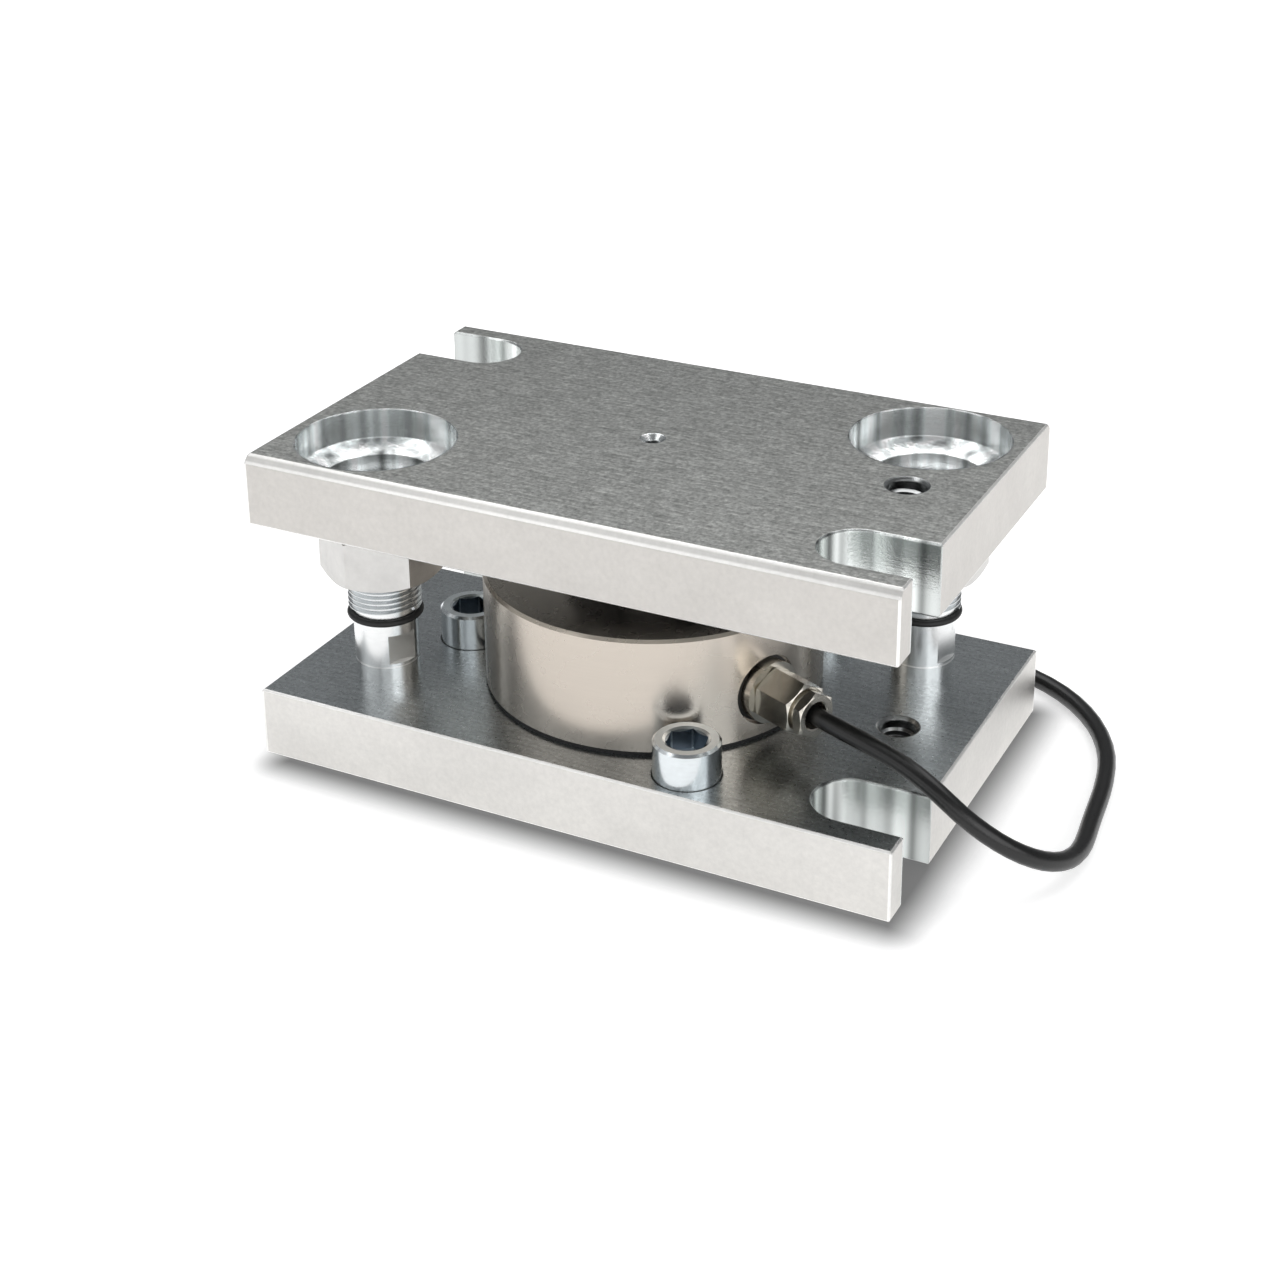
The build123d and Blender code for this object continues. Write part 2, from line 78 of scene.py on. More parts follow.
# Where the masks fade in. The first three are shares by which a face looks upward, for level faces and for
# the two ends of the sloping ones. The last is distances from the edges of a bevel, in metres
level_fade = (0.90, 0.98)
upright_fade = (0.30, 0.50)
flat_fade = (0.95, 0.85)
bevel_edge_fade = (0.0004, 0.0008)

# The camera: its place in metres, the directions of its own axes, and its lens in pixels of the frame
camera_place = (0.24782, -0.49130, 0.31867)
camera_right = (0.8918776, 0.4521682, -0.0099131)
camera_up = (-0.1542546, 0.3247167, 0.9331477)
camera_back = (0.4251586, -0.8307244, 0.3593566)
frame_pixels = 1280.0
focal_pixels = 2217.78
optical_centre_row = 380.0
sensor_width = 36.0

# Each softbox: its place, the height on the module's axis that it points at, its width, its height, its power
softboxes = {
    "softbox_overhead": ((-0.10, 0.30, 0.95), 0.05, 1.3, 0.9, 6.4),
    "softbox_bevel": ((-0.42, -0.37, 0.85), 0.08, 0.4, 0.4, 0.9),
    "softbox_left": ((-0.9, -0.5, 0.5), 0.04, 0.5, 0.6, 0.5),
    "softbox_front_left": ((-0.50, -0.98, 0.42), 0.04, 1.0, 0.5, 1.5),
    "softbox_right": ((0.85, -0.35, 0.45), 0.04, 0.8, 0.7, 3.4),
    "softbox_front": ((0.46, -0.92, 0.42), 0.04, 0.9, 0.50, 1.7),
}
surroundings_colour = (0.22, 0.225, 0.23, 1.0)

# The floor, with the glow that it shows to the camera and to metal: its strength near the module and far
# from it, and the distances between which it rises
floor_size = 8.0
floor_height = -0.0002
floor_paper_colour = (0.70, 0.70, 0.70)
floor_glow_near = 0.60
floor_glow_far = 0.90
floor_glow_starts = 0.15
floor_glow_ends = 0.60

# The shadow painted on the floor round the bottom plate, by the distance from the plate's outline
contact_shadow_start = -0.003
contact_shadow_reach = 0.0145
contact_shadow_darkest = 0.12
contact_shadow_shift = (0.004, -0.001, 0.0)

# What a finish gives to some of its faces only
# Painted highlight: the light colour laid along the plates' outer edges and the two edges of their bevels
painted_edge_highlight_colour = (0.95, 0.94, 0.92)
bevel_colour = (0.64, 0.63, 0.61)
# Painted light: the bore walls are coloured lighter than the plates
bore_colour = (0.84, 0.87, 0.87)
slot_colour = (0.62, 0.645, 0.635)
# Painted shade: the tapped hole's walls are coloured darker
tapped_wall_shade_colour = (0.38, 0.39, 0.39)
# Painted shade inside the screws' hex sockets
socket_shade_colour = (0.30, 0.34, 0.38)
bore_roughness = 0.21
upright_roughness = 0.42
speckle_strength = 1.4
# Painted shade: how much darker the polished steel's level faces are coloured
level_steel_painted_shade = 0.30


# Helpers for laying out nodes. A value may be plain or the output of another node
def feed(tree, value, socket):
    """Gives a socket a number, a vector or a colour, or links it to another node's output."""
    if isinstance(value, bpy.types.NodeSocket):
        tree.links.new(value, socket)
    elif socket.type == "RGBA":
        socket.default_value = (*value, 1.0)
    else:
        socket.default_value = value


def calculate(tree, operation, *values):
    """A number worked out from one to three others."""
    node = tree.nodes.new("ShaderNodeMath")
    node.operation = operation
    for value, socket in zip(values, node.inputs):
        feed(tree, value, socket)
    return node.outputs["Value"]


def multiply(tree, first, second):
    return calculate(tree, "MULTIPLY", first, second)


def calculate_vector(tree, operation, *values):
    """The node that works out a vector, or a vector's length, from one or two vectors."""
    node = tree.nodes.new("ShaderNodeVectorMath")
    node.operation = operation
    for value, socket in zip(values, node.inputs):
        feed(tree, value, socket)
    return node


def split_vector(tree, vector):
    split = tree.nodes.new("ShaderNodeSeparateXYZ")
    tree.links.new(vector, split.inputs[0])
    return split.outputs


def ramp(tree, value, start, end, low=0.0, high=1.0, interpolation="LINEAR"):
    """low up to start and high from end on, rising or falling between them."""
    node = tree.nodes.new("ShaderNodeMapRange")
    node.interpolation_type = interpolation
    settings = {"Value": value, "From Min": start, "From Max": end, "To Min": low, "To Max": high}
    for label, setting in settings.items():
        feed(tree, setting, node.inputs[label])
    return node.outputs[0]


def blend_values(tree, mask, low, high):
    """low where the mask is 0 and high where it is 1."""
    mixed = tree.nodes.new("ShaderNodeMix")
    mixed.data_type = "FLOAT"
    tree.links.new(mask, mixed.inputs[0])
    feed(tree, low, mixed.inputs[2])
    feed(tree, high, mixed.inputs[3])
    return mixed.outputs[0]


def blend_colours(tree, mask, low, high):
    mixed = tree.nodes.new("ShaderNodeMix")
    mixed.data_type = "RGBA"
    tree.links.new(mask, mixed.inputs[0])
    feed(tree, low, mixed.inputs[6])
    feed(tree, high, mixed.inputs[7])
    return mixed.outputs[2]


def shade_colour(tree, colour, shade):
    """A colour made lighter and darker by a value around 1."""
    scaled = calculate_vector(tree, "SCALE", colour)
    tree.links.new(shade, scaled.inputs["Scale"])
    return scaled.outputs["Vector"]


# Camera, at the photograph's viewing angle
def set_camera():
    camera_data = bpy.data.cameras.new("camera")
    camera = bpy.data.objects.new("camera", camera_data)
    bpy.context.scene.collection.objects.link(camera)
    turn = Matrix((camera_right, camera_up, camera_back)).transposed().to_4x4()
    camera.matrix_world = Matrix.Translation(camera_place) @ turn
    camera_data.sensor_width = sensor_width
    camera_data.sensor_fit = "HORIZONTAL"
    camera_data.lens = sensor_width * focal_pixels / frame_pixels
    camera_data.shift_y = optical_centre_row / frame_pixels - 0.5
    camera_data.clip_start = 0.02
    camera_data.clip_end = 20.0
    bpy.context.scene.camera = camera


# Soft studio light, floor and surroundings
def add_softbox(name, place, aim_height, width, height, power):
    light_data = bpy.data.lights.new(name, "AREA")
    light_data.shape = "RECTANGLE"
    light_data.size = width
    light_data.size_y = height
    light_data.energy = power
    light = bpy.data.objects.new(name, light_data)
    bpy.context.scene.collection.objects.link(light)
    direction = Vector((0.0, 0.0, aim_height)) - Vector(place)
    light.location = place
    light.rotation_euler = direction.to_track_quat("-Z", "Y").to_euler()


def set_lights():
    for name, settings in softboxes.items():
        add_softbox(name, *settings)
    world = bpy.data.worlds.new("studio")
    bpy.context.scene.world = world
    world.use_nodes = True
    surroundings = world.node_tree.nodes["Background"]
    surroundings.inputs["Color"].default_value = surroundings_colour
    surroundings.inputs["Strength"].default_value = 1.0
    bpy.context.scene.view_settings.view_transform = "Standard"


def set_floor():
    """Pale paper that shows white to the camera and to metal, with a shadow painted on it close to the bottom
    plate.
    """
    bpy.ops.mesh.primitive_plane_add(size=floor_size, location=(0.0, 0.0, floor_height))
    floor = bpy.context.object
    floor.name = "floor"
    paint = bpy.data.materials.new("floor_paper")
    paint.use_nodes = True
    tree = paint.node_tree
    shader = tree.nodes["Principled BSDF"]
    shader.inputs["Roughness"].default_value = 0.9
    shader.inputs["Specular IOR Level"].default_value = 0.1
    rays = tree.nodes.new("ShaderNodeLightPath")
    seen = calculate(tree, "MAXIMUM", rays.outputs["Is Camera Ray"], rays.outputs["Is Glossy Ray"])
    place = tree.nodes.new("ShaderNodeTexCoord").outputs["Object"]
    distance = calculate_vector(tree, "LENGTH", place).outputs["Value"]
    rise = ramp(tree, distance, floor_glow_starts, floor_glow_ends, floor_glow_near, floor_glow_far)
    shifted = calculate_vector(tree, "SUBTRACT", place, contact_shadow_shift)
    from_middle = calculate_vector(tree, "ABSOLUTE", shifted.outputs["Vector"])
    plate_corner = (plate_half_length - contact_shadow_shift[0], plate_half_width, 1.0)
    past_plate = calculate_vector(tree, "SUBTRACT", from_middle.outputs["Vector"], plate_corner)
    beside_plate = calculate_vector(tree, "MAXIMUM", past_plate.outputs["Vector"])
    gap = calculate_vector(tree, "LENGTH", beside_plate.outputs["Vector"]).outputs["Value"]
    # Painted shadow: the paper is coloured darker towards the plate's outline, for camera rays only
    contact = ramp(tree, gap, contact_shadow_start, contact_shadow_reach, contact_shadow_darkest,
                   interpolation="SMOOTHSTEP")
    shadow = blend_values(tree, rays.outputs["Is Camera Ray"], 1.0, contact)
    glow = multiply(tree, multiply(tree, seen, rise), shadow)
    tree.links.new(shade_colour(tree, floor_paper_colour, shadow), shader.inputs["Base Color"])
    shader.inputs["Emission Color"].default_value = (1.0, 1.0, 1.0, 1.0)
    tree.links.new(glow, shader.inputs["Emission Strength"])
    floor.data.materials.append(paint)


# Node groups that several finishes share
def start_group(name, inputs, output):
    tree = bpy.data.node_groups.new(name, "ShaderNodeTree")
    for label, kind in inputs:
        tree.interface.new_socket(label, in_out="INPUT", socket_type=kind)
    tree.interface.new_socket(output, in_out="OUTPUT", socket_type="NodeSocketFloat")
    entry = tree.nodes.new("NodeGroupInput")
    result = tree.nodes.new("NodeGroupOutput")
    return tree, entry, result


def build_grain():
    """A value around 1 that follows stretched noise: machining streaks, speckle or cloudiness."""
    inputs = [("Vector", "NodeSocketVector"), ("Stretch", "NodeSocketVector"),
              ("Contrast", "NodeSocketFloat"), ("Detail", "NodeSocketFloat")]
    tree, entry, result = start_group("metal_grain", inputs, "Shade")
    stretched = calculate_vector(tree, "MULTIPLY", entry.outputs["Vector"], entry.outputs["Stretch"])
    noise = tree.nodes.new("ShaderNodeTexNoise")
    noise.inputs["Scale"].default_value = 1.0
    noise.inputs["Roughness"].default_value = 0.65
    tree.links.new(stretched.outputs["Vector"], noise.inputs["Vector"])
    tree.links.new(entry.outputs["Detail"], noise.inputs["Detail"])
    centred = calculate(tree, "SUBTRACT", noise.outputs["Fac"], 0.5)
    shade = calculate(tree, "MULTIPLY_ADD", centred, entry.outputs["Contrast"], 1.0)
    tree.links.new(shade, result.inputs["Shade"])
    return tree


def build_facing():
    """1 on faces that point up or down, 0 on upright ones."""
    tree, entry, result = start_group("level_faces", [("Normal", "NodeSocketVector")], "Mask")
    upward = calculate(tree, "ABSOLUTE", split_vector(tree, entry.outputs["Normal"])["Z"])
    tree.links.new(ramp(tree, upward, *level_fade), result.inputs["Mask"])
    return tree


def build_nearby():
    """1 within a radius of an upright axis, 0 outside it."""
    inputs = [("Vector", "NodeSocketVector"), ("Axis", "NodeSocketVector"), ("Radius", "NodeSocketFloat")]
    tree, entry, result = start_group("round_an_axis", inputs, "Mask")
    offset = calculate_vector(tree, "SUBTRACT", entry.outputs["Vector"], entry.outputs["Axis"])
    flat = calculate_vector(tree, "MULTIPLY", offset.outputs["Vector"], (1.0, 1.0, 0.0))
    distance = calculate_vector(tree, "LENGTH", flat.outputs["Vector"]).outputs["Value"]
    inside = calculate(tree, "LESS_THAN", distance, entry.outputs["Radius"])
    tree.links.new(inside, result.inputs["Mask"])
    return tree


def build_slot_walls():
    """1 inside the two open bolt slots, which lie opposite each other about the middle."""
    inputs = [("Vector", "NodeSocketVector"), ("Radius", "NodeSocketFloat")]
    tree, entry, result = start_group("slot_walls", inputs, "Mask")
    place = split_vector(tree, entry.outputs["Vector"])
    side = calculate(tree, "SIGN", place["X"])
    past_end = calculate(tree, "SUBTRACT", multiply(tree, place["X"], side), slot_end[0])
    aside = calculate(tree, "SUBTRACT", multiply(tree, place["Y"], side), slot_end[1])
    joined = tree.nodes.new("ShaderNodeCombineXYZ")
    tree.links.new(calculate(tree, "MINIMUM", past_end, 0.0), joined.inputs["X"])
    tree.links.new(aside, joined.inputs["Y"])
    distance = calculate_vector(tree, "LENGTH", joined.outputs["Vector"]).outputs["Value"]
    inside = calculate(tree, "LESS_THAN", distance, entry.outputs["Radius"])
    tree.links.new(inside, result.inputs["Mask"])
    return tree


def build_bevel_masks():
    """1 on the long upper bevels and other sloping faces, and a second mask for the bevels' middle."""
    inputs = [("Vector", "NodeSocketVector"), ("Normal", "NodeSocketVector")]
    tree, entry, result = start_group("bevel_masks", inputs, "Bevel")
    tree.interface.new_socket("Middle", in_out="OUTPUT", socket_type="NodeSocketFloat")
    facing = split_vector(tree, entry.outputs["Normal"])["Z"]
    height = split_vector(tree, entry.outputs["Vector"])["Z"]
    sloping = multiply(tree, ramp(tree, facing, *upright_fade), ramp(tree, facing, *flat_fade))
    near, far = bevel_edge_fade
    middle = multiply(tree, ramp(tree, height, bevel_low + near, bevel_low + far),
                      ramp(tree, height, top_plate_top - near, top_plate_top - far))
    tree.links.new(sloping, result.inputs["Bevel"])
    tree.links.new(multiply(tree, sloping, middle), result.inputs["Middle"])
    return tree


def build_rims():
    """1 along the outer edges of the two plates, where a point is near two of their sides, 0 elsewhere."""
    tree, entry, result = start_group("plate_rims", [("Vector", "NodeSocketVector")], "Mask")
    place = split_vector(tree, entry.outputs["Vector"])
    height = calculate(tree, "FLOORED_MODULO", place["Z"], top_plate_underside)
    from_middle = calculate(tree, "SUBTRACT", height, plate_thickness / 2)
    sides = [(place["X"], plate_half_length), (place["Y"], plate_half_width),
             (from_middle, plate_thickness / 2)]
    near_sides = tree.nodes.new("ShaderNodeCombineXYZ")
    for number, (value, limit) in enumerate(sides):
        near = calculate(tree, "GREATER_THAN", calculate(tree, "ABSOLUTE", value), limit - rim_width)
        tree.links.new(near, near_sides.inputs[number])
    count = calculate_vector(tree, "DOT_PRODUCT", near_sides.outputs["Vector"], (1.0, 1.0, 1.0))
    tree.links.new(calculate(tree, "GREATER_THAN", count.outputs["Value"], 1.5), result.inputs["Mask"])
    return tree


grain = build_grain()
level_faces = build_facing()
round_an_axis = build_nearby()
slot_walls = build_slot_walls()
bevel_masks = build_bevel_masks()
plate_rims = build_rims()


# Parts that the finishes are laid out from
def start_material(name, colour, metallic, roughness):
    material = bpy.data.materials.new(name)
    material.use_nodes = True
    shader = material.node_tree.nodes["Principled BSDF"]
    shader.inputs["Base Color"].default_value = (*colour, 1.0)
    shader.inputs["Metallic"].default_value = metallic
    shader.inputs["Roughness"].default_value = roughness
    return material, material.node_tree, shader


def place_group(tree, group, settings):
    placed = tree.nodes.new("ShaderNodeGroup")
    placed.node_tree = group
    for label, value in settings.items():
        feed(tree, value, placed.inputs[label])
    return placed.outputs


def place_grain(tree, coordinates, stretch, contrast, detail=3.0):
    """Noise around 1. The stretch is about how many grains fit in a metre along x, y and z."""
    settings = {"Vector": coordinates.outputs["Object"], "Stretch": stretch, "Contrast": contrast,
                "Detail": detail}
    return place_group(tree, grain, settings)["Shade"]


def place_facing(tree, coordinates):
    return place_group(tree, level_faces, {"Normal": coordinates.outputs["Normal"]})["Mask"]


def place_axis(tree, coordinates, axis, radius):
    settings = {"Vector": coordinates.outputs["Object"], "Axis": (*axis, 0.0), "Radius": radius}
    return place_group(tree, round_an_axis, settings)["Mask"]


def place_slot_walls(tree, coordinates):
    settings = {"Vector": coordinates.outputs["Object"], "Radius": slot_radius}
    return place_group(tree, slot_walls, settings)["Mask"]


def place_bevels(tree, coordinates):
    settings = {"Vector": coordinates.outputs["Object"], "Normal": coordinates.outputs["Normal"]}
    masks = place_group(tree, bevel_masks, settings)
    return masks["Bevel"], masks["Middle"]


def place_rims(tree, coordinates):
    return place_group(tree, plate_rims, {"Vector": coordinates.outputs["Object"]})["Mask"]


def add_bump(tree, shader, height, distance, edge_radius=0.0):
    """Fine unevenness that follows a value, over edges that look rounded where a radius is given."""
    bump = tree.nodes.new("ShaderNodeBump")
    bump.inputs["Distance"].default_value = distance
    tree.links.new(height, bump.inputs["Height"])
    if edge_radius > 0.0:
        edge = tree.nodes.new("ShaderNodeBevel")
        edge.samples = 4
        edge.inputs["Radius"].default_value = edge_radius
        tree.links.new(edge.outputs["Normal"], bump.inputs["Normal"])
    tree.links.new(bump.outputs["Normal"], shader.inputs["Normal"])


# Finishes
def zinc_plate(name, level_colour, level_roughness, level_contrast, upright_colour, bores, unevenness):
    """Milled and zinc-plated plate: streaked level faces, mottled upright ones, painted highlights along its
    edges, hole walls painted lighter with bands of painted reflection, and painted shade in its tapped hole.
    """
    material, tree, shader = start_material(name, level_colour, 1.0, level_roughness)
    coordinates = tree.nodes.new("ShaderNodeTexCoord")
    level = place_facing(tree, coordinates)
    streaks = place_grain(tree, coordinates, (110.0, 1000.0, 1000.0), level_contrast, detail=5.0)
    speckle_contrast = level_contrast * speckle_strength
    speckle = place_grain(tree, coordinates, (950.0, 950.0, 950.0), speckle_contrast, detail=6.0)
    clouds = place_grain(tree, coordinates, (45.0, 60.0, 60.0), contrast=0.20)
    mottle = place_grain(tree, coordinates, (700.0, 700.0, 700.0), contrast=0.28, detail=6.0)
    # Painted reflection: bands round each hole's axis, as turned walls would reflect the light
    bands = place_grain(tree, coordinates, (190.0, 190.0, 0.0), contrast=3.2, detail=1.0)
    level_shade = multiply(tree, multiply(tree, streaks, speckle), clouds)
    upright_shade = multiply(tree, mottle, clouds)
    shade = blend_values(tree, level, upright_shade, level_shade)
    colour = blend_colours(tree, level, upright_colour, level_colour)
    roughness = blend_values(tree, level, upright_roughness, level_roughness)
    bevel, middle = place_bevels(tree, coordinates)
    # Painted highlight: the whole bevel takes the light edge colour and only its middle its own, leaving
    # light lines at its edges
    colour = blend_colours(tree, bevel, colour, painted_edge_highlight_colour)
    colour = blend_colours(tree, middle, colour, bevel_colour)
    # Painted highlight along the plates' outer rims
    colour = blend_colours(tree, place_rims(tree, coordinates), colour, painted_edge_highlight_colour)
    # Hole walls: the bores painted lighter and every wall striped with the painted reflection bands
    holes = [(place_axis(tree, coordinates, axis, radius), bore_colour) for axis, radius in bores]
    holes.append((place_slot_walls(tree, coordinates), slot_colour))
    # Painted shade inside the tapped hole
    holes.append((place_axis(tree, coordinates, tapped_place, tapped_mouth_radius), tapped_wall_shade_colour))
    for hole, wall_colour in holes:
        colour = blend_colours(tree, hole, colour, wall_colour)
        roughness = blend_values(tree, hole, roughness, bore_roughness)
        shade = blend_values(tree, hole, shade, bands)
    tree.links.new(shade_colour(tree, colour, shade), shader.inputs["Base Color"])
    tree.links.new(multiply(tree, roughness, mottle), shader.inputs["Roughness"])
    add_bump(tree, shader, level_shade, unevenness, worn_edge_radius)
    return material


def bright_zinc(name, colour, roughness, lines=(220.0, 220.0, 2600.0), level_roughness=0.45, sockets=()):
    """Turned and zinc-plated steel, with fine marks round the axis, rougher level faces and painted shade in
    its sockets.
    """
    material, tree, shader = start_material(name, colour, 1.0, roughness)
    coordinates = tree.nodes.new("ShaderNodeTexCoord")
    turned = place_grain(tree, coordinates, lines, contrast=0.18)
    clouds = place_grain(tree, coordinates, (120.0, 120.0, 120.0), contrast=0.35)
    # Painted shade: the hex sockets are coloured darker
    for axis in sockets:
        socket = place_axis(tree, coordinates, axis, socket_radius)
        colour = blend_colours(tree, socket, colour, socket_shade_colour)
    tree.links.new(shade_colour(tree, colour, multiply(tree, turned, clouds)), shader.inputs["Base Color"])
    roughness = blend_values(tree, place_facing(tree, coordinates), roughness, level_roughness)
    tree.links.new(multiply(tree, clouds, roughness), shader.inputs["Roughness"])
    add_bump(tree, shader, turned, distance=0.00003)
    return material


def polished_steel(name, colour, roughness):
    """Turned and polished stainless steel, with painted shade on its ground level faces."""
    material, tree, shader = start_material(name, colour, 1.0, roughness)
    coordinates = tree.nodes.new("ShaderNodeTexCoord")
    level = place_facing(tree, coordinates)
    shown = blend_colours(tree, level, colour, tuple(value * level_steel_painted_shade for value in colour))
    turned = place_grain(tree, coordinates, (60.0, 60.0, 3500.0), contrast=0.10)
    haze = place_grain(tree, coordinates, (70.0, 70.0, 70.0), contrast=0.5)
    tree.links.new(shade_colour(tree, shown, turned), shader.inputs["Base Color"])
    tree.links.new(multiply(tree, haze, roughness), shader.inputs["Roughness"])
    add_bump(tree, shader, turned, distance=0.000008)
    return material


def soft_black(name, colour, roughness, grains):
    """Black rubber or cable sheath, with a fine uneven skin."""
    material, tree, shader = start_material(name, colour, 0.0, roughness)
    coordinates = tree.nodes.new("ShaderNodeTexCoord")
    skin = place_grain(tree, coordinates, (grains, grains, grains), contrast=0.5, detail=4.0)
    tree.links.new(shade_colour(tree, colour, skin), shader.inputs["Base Color"])
    tree.links.new(multiply(tree, skin, roughness), shader.inputs["Roughness"])
    add_bump(tree, shader, skin, distance=0.00004)
    return material


def plain_part(name, colour, roughness, metallic=0.0):
    """A small inner part, with slight unevenness."""
    material, tree, shader = start_material(name, colour, metallic, roughness)
    coordinates = tree.nodes.new("ShaderNodeTexCoord")
    uneven = place_grain(tree, coordinates, (600.0, 600.0, 600.0), contrast=0.3)
    tree.links.new(shade_colour(tree, colour, uneven), shader.inputs["Base Color"])
    tree.links.new(multiply(tree, uneven, roughness), shader.inputs["Roughness"])
    return material


bores_top = [(axis, stepped_hole_radius) for axis in rod_places.values()] + [((0.0, 0.0), centre_hole_radius)]
finishes = {
    # Both plates are the same zinc; the bottom plate's upright faces are painted lighter than the top
    # plate's, as painted light
    "top_plate": zinc_plate(
        "zinc_top_plate", level_colour=(0.52, 0.525, 0.505), level_roughness=0.36, level_contrast=1.6,
        upright_colour=(0.575, 0.555, 0.53), bores=bores_top, unevenness=0.00003),
    "bottom_plate": zinc_plate(
        "zinc_bottom_plate", level_colour=(0.435, 0.46, 0.47), level_roughness=0.28, level_contrast=0.9,
        upright_colour=(0.71, 0.695, 0.67), bores=[], unevenness=0.00002),
    "rods": bright_zinc("zinc_rods", (0.84, 0.85, 0.85), 0.24),
    # Painted shade: the rods' threads are coloured darker than the rods, for the shade in their grooves
    "threads": bright_zinc("zinc_threads", (0.64, 0.66, 0.67), 0.22),
    # Painted shade: the tapped threads are coloured darker, for the shade inside the hole
    "tapped_threads": bright_zinc("zinc_tapped_threads", (0.48, 0.49, 0.49), 0.22),
    "nuts": bright_zinc("zinc_nuts", (0.60, 0.59, 0.575), 0.36, lines=(500.0, 500.0, 500.0)),
    "screws": bright_zinc("zinc_screws", (0.72, 0.76, 0.78), 0.20, sockets=screw_places),
    "cell": polished_steel("polished_cell", (0.57, 0.515, 0.455), 0.27),
    "button": polished_steel("ground_button", (0.70, 0.69, 0.67), 0.18),
    "gland": bright_zinc("nickel_gland", (0.62, 0.59, 0.53), 0.22, lines=(700.0, 700.0, 700.0)),
    "rubber": soft_black("black_rubber", (0.012, 0.012, 0.012), 0.55, grains=900.0),
    "sheath": soft_black("cable_sheath", (0.006, 0.006, 0.006), 0.30, grains=1400.0),
    "tie": soft_black("tie_nylon", (0.02, 0.02, 0.02), 0.45, grains=600.0),
    "cores": plain_part("core_insulation", (0.45, 0.03, 0.02), 0.45),
    "copper": plain_part("tinned_copper", (0.72, 0.68, 0.62), 0.30, metallic=1.0),
    "board": plain_part("board_laminate", (0.02, 0.16, 0.06), 0.50),
    "foil": plain_part("gauge_foil", (0.62, 0.38, 0.12), 0.40, metallic=0.3),
}
finish_of_node = {
    "top_plate": "top_plate",
    "bottom_plate": "bottom_plate",
    "hold_down_rod_front_left": "rods",
    "hold_down_rod_back_right": "rods",
    "jack_nuts": "nuts",
    "nut_washers": "nuts",
    "locating_screws": "screws",
    "cell_body": "cell",
    "cell_bottom_cover": "cell",
    "load_button": "button",
    "pressure_plate": "button",
    "gland_body": "gland",
    "gland_nut": "gland",
    "cell_seal_ring": "rubber",
    "rod_ring_front_left": "rubber",
    "rod_ring_back_right": "rubber",
    "gland_o_ring": "rubber",
    "gland_seal": "rubber",
    "cable_inner_end": "sheath",
    "coil_ties": "tie",
    "cable_cores": "cores",
    "gauge_wiring": "cores",
    "core_leads": "copper",
    "terminal_board": "board",
    "strain_gauge_1": "foil",
    "strain_gauge_2": "foil",
    "strain_gauge_3": "foil",
    "strain_gauge_4": "foil",
}


def dress_nodes():
    for node, finish in finish_of_node.items():
        materials = nodes[node].data.materials
        if len(materials) == 0:
            materials.append(finishes[finish])
        for index in range(len(materials)):
            materials[index] = finishes[finish]


# Threads
def settle(piece, finish):
    """Puts the piece's place into its mesh, then gives it a finish and a body to ride on."""
    bpy.ops.object.transform_apply(location=True, rotation=True, scale=True)
    piece.data.materials.append(finishes[finish])
    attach(piece, "root")
    bpy.ops.object.select_all(action="DESELECT")


def cut_thread(name, axis, low, high, root_radius, crest_radius, pitch, finish):
    """A helical ridge from root to crest, wound up the given axis. The crest may be inside the root."""
    middle = (root_radius + crest_radius) / 2
    depth = abs(crest_radius - root_radius)
    start = (axis[0] + middle, axis[1], low + pitch / 2)
    bpy.ops.mesh.primitive_plane_add(size=1.0, location=start, rotation=(math.pi / 2, 0.0, 0.0))
    ridge = bpy.context.object
    ridge.name = name
    ridge.scale = (depth + thread_overlap, pitch * thread_fullness, 1.0)
    bpy.ops.object.transform_apply(location=False, rotation=True, scale=True)
    outward = 1.0 if crest_radius > root_radius else -1.0
    bpy.ops.object.mode_set(mode="EDIT")
    bpy.ops.mesh.select_all(action="DESELECT")
    bpy.ops.object.mode_set(mode="OBJECT")
    for vertex in ridge.data.vertices:
        vertex.select = vertex.co.x * outward > 0
    bpy.ops.object.mode_set(mode="EDIT")
    bpy.ops.transform.resize(value=(1.0, 1.0, thread_crest_share))
    bpy.ops.object.mode_set(mode="OBJECT")
    bpy.context.scene.cursor.location = (axis[0], axis[1], low)
    bpy.ops.object.origin_set(type="ORIGIN_CURSOR")
    turns = int((high - low) / pitch) - 1
    winding = ridge.modifiers.new("winding", "SCREW")
    winding.axis = "Z"
    winding.angle = 2 * math.pi
    winding.screw_offset = pitch
    winding.iterations = turns
    winding.steps = thread_steps
    winding.render_steps = thread_steps
    winding.use_merge_vertices = False
    bpy.ops.object.modifier_apply(modifier="winding")
    bpy.ops.object.mode_set(mode="EDIT")
    bpy.ops.mesh.select_all(action="SELECT")
    bpy.ops.mesh.remove_doubles(threshold=thread_weld)
    bpy.ops.mesh.fill_holes(sides=0)
    bpy.ops.mesh.select_all(action="SELECT")
    bpy.ops.mesh.normals_make_consistent(inside=False)
    bpy.ops.object.mode_set(mode="OBJECT")
    bpy.ops.object.shade_smooth_by_angle(angle=thread_smooth_angle)
    settle(ridge, finish)


def cut_threads():
    for side, axis in rod_places.items():
        cut_thread("rod_thread_" + side, axis, rod_thread_low, rod_thread_high, rod_root_radius,
                   rod_crest_radius, rod_pitch, "threads")
    for plate, low in (("bottom", 0.0), ("top", top_plate_underside)):
        high = low + plate_thickness - tapped_sink
        cut_thread("tapped_thread_" + plate, tapped_place, low, high, tapped_radius,
                   tapped_crest_radius, tapped_pitch, "tapped_threads")


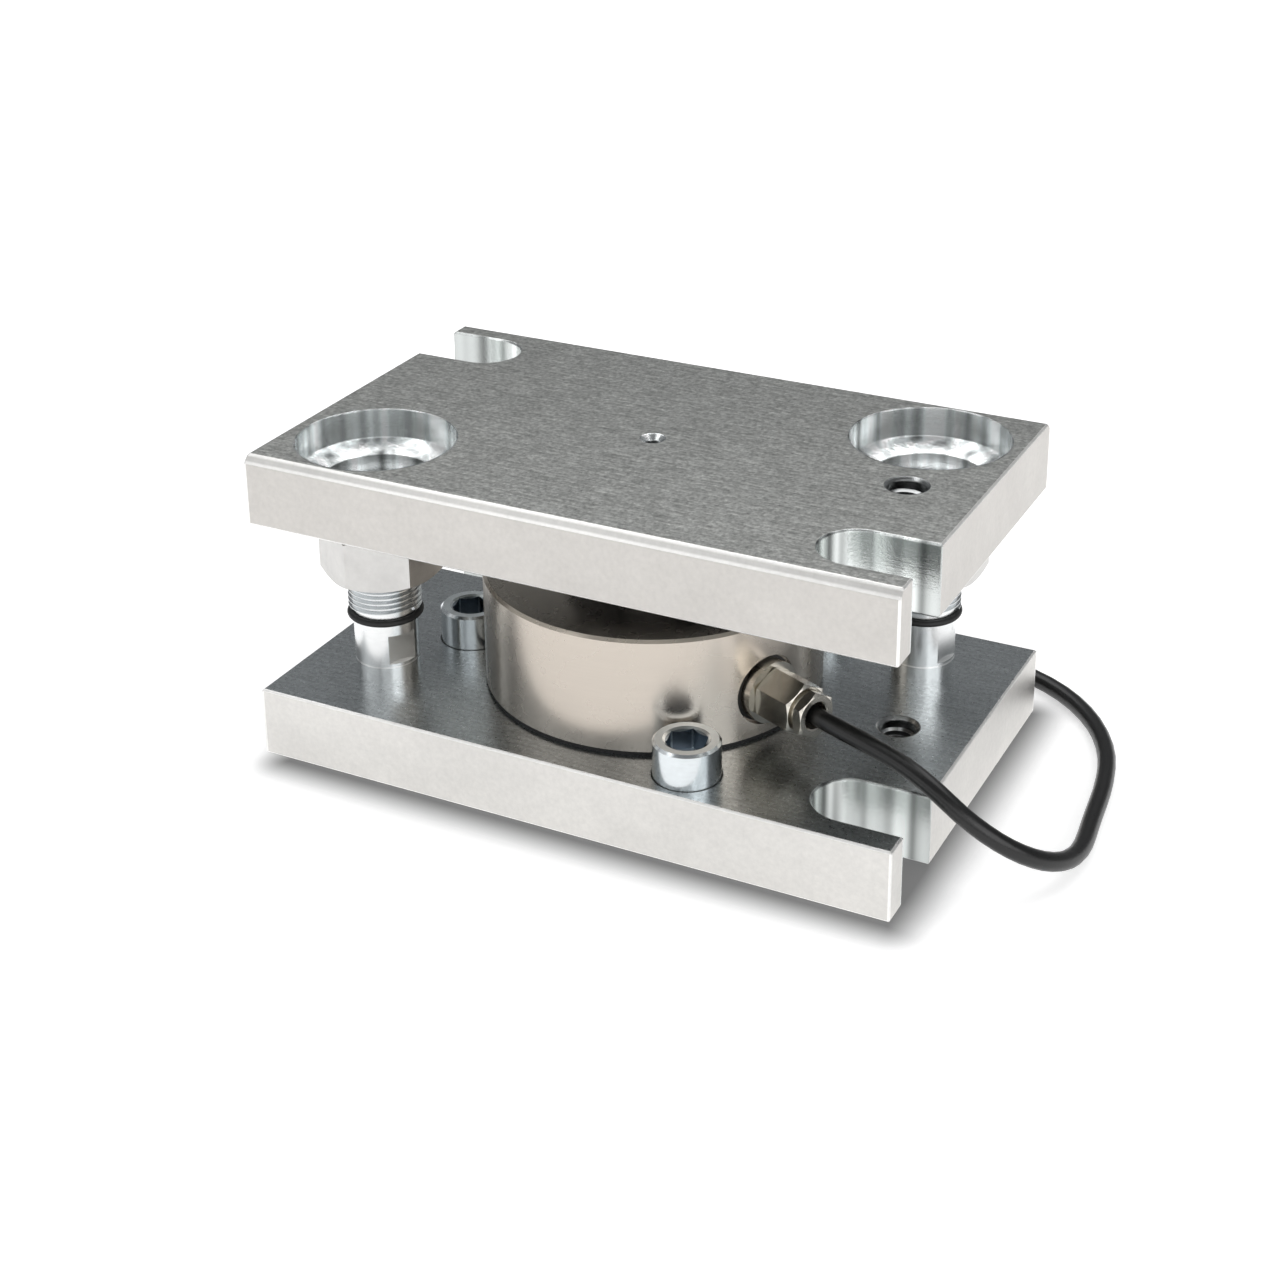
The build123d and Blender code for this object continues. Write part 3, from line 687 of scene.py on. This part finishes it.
# Cable: the free stretch, its coil behind the plates and the tail on top, as one spline. Angles are in
# degrees, steps count the spline's points, and a turn moves over to the next one at the shift
cable_exit = (0.05847, -0.02603, 0.03350)
cable_route = [
    (0.06578, -0.02928, 0.03350),
    (0.0760, -0.0316, 0.0321),
    (0.0855, -0.0334, 0.0302),
    (0.0950, -0.0362, 0.0271),
    (0.1044, -0.0378, 0.0213),
    (0.1138, -0.0356, 0.0150),
    (0.1211, -0.0294, 0.0093),
    (0.1254, -0.0204, 0.0050),
    (0.1266, -0.0096, 0.0029),
    (0.1246, 0.0053, 0.0025),
    (0.1230, 0.0232, 0.0025),
    (0.1190, 0.0410, 0.0025),
    (0.1098, 0.0570, 0.0025),
    (0.0960, 0.0692, 0.0027),
    (0.0775, 0.0759, 0.0030),
    (0.0550, 0.0755, 0.0033),
    (0.0330, 0.0702, 0.0034),
    (0.0120, 0.0680, 0.0034),
]
coil_centre = (-0.0120, 0.1130)
coil_floor = 0.0009
coil_layers = 4
coil_outer_turn = 0.0425
coil_inner_turn = 0.0175
coil_steps = 20
coil_start_angle = 270.0
coil_step_angle = 360.0 / coil_steps
shift_start = 15.5
shift_steps = 9
tail_height = 0.02273
tail_turn = 0.0300
tail_steps = 15
tail_slide_steps = 6
tail_climb_steps = 3
tail_end = 44.0


def around_coil(radius, angle, height):
    turn = math.radians(angle)
    return (coil_centre[0] + radius * math.cos(turn), coil_centre[1] + radius * math.sin(turn), height)


def turn_places():
    """The radius and height of the run-in and of every turn, wound inward and outward by turns."""
    count = round((coil_outer_turn - coil_inner_turn) / cable_diameter) + 1
    places = [(coil_outer_turn + cable_diameter, coil_floor + cable_diameter / 2)]
    for layer in range(coil_layers):
        radii = [coil_outer_turn - cable_diameter * turn for turn in range(count)]
        if layer % 2 == 1:
            radii.reverse()
        places += [(radius, coil_floor + cable_diameter * (layer + 0.5)) for radius in radii]
    return places


def coil_points():
    """Round turns wound clockwise, with each shift to the next turn made on the side of the plates."""
    swell = 1.0 / (0.75 + 0.25 * math.cos(2 * math.pi / coil_steps))
    places = turn_places()
    points = []
    for number in range(coil_steps, (len(places) - 1) * coil_steps + int(shift_start) + 1):
        turn, step = divmod(number, coil_steps)
        first = turn
        share = (step - shift_start) / shift_steps
        if step < shift_start + shift_steps - coil_steps:
            first = turn - 1
            share = (step + coil_steps - shift_start) / shift_steps
        share = min(max(share, 0.0), 1.0)
        last = min(first + 1, len(places) - 1)
        shift = (1.0 - math.cos(math.pi * share)) / 2.0
        radius = places[first][0] + (places[last][0] - places[first][0]) * shift
        height = places[first][1] + (places[last][1] - places[first][1]) * shift
        points.append(around_coil(radius * swell, coil_start_angle - number * coil_step_angle, height))
    angle = coil_start_angle - int(shift_start) * coil_step_angle
    radius, height = places[-1]
    for step in range(1, tail_steps + 1):
        sideways = (1.0 - math.cos(math.pi * min(step / tail_slide_steps, 1.0))) / 2.0
        climb = math.sin(math.pi * min(step / tail_climb_steps, 1.0) / 2.0)
        points.append(around_coil((radius + (tail_turn - radius) * sideways) * swell,
                                  angle - step * coil_step_angle, height + (tail_height - height) * climb))
    points.append(around_coil(tail_turn, tail_end, tail_height))
    return points


def lay_cable():
    points = [cable_exit] + cable_route + coil_points()
    curve_data = bpy.data.curves.new("cable_run", "CURVE")
    curve_data.dimensions = "3D"
    spline = curve_data.splines.new("NURBS")
    spline.points.add(len(points) - 1)
    for control, place in zip(spline.points, points):
        control.co = (*place, 1.0)
    spline.order_u = 3
    spline.use_endpoint_u = True
    spline.resolution_u = 3
    curve_data.bevel_depth = cable_diameter / 2
    curve_data.bevel_resolution = 4
    curve_data.use_fill_caps = True
    run = bpy.data.objects.new("cable_run", curve_data)
    bpy.context.scene.collection.objects.link(run)
    curve_data.materials.append(finishes["sheath"])
    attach(run, "root")
    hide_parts("cable", "cable_coil")


set_camera()
set_lights()
set_floor()
dress_nodes()
cut_threads()
lay_cable()
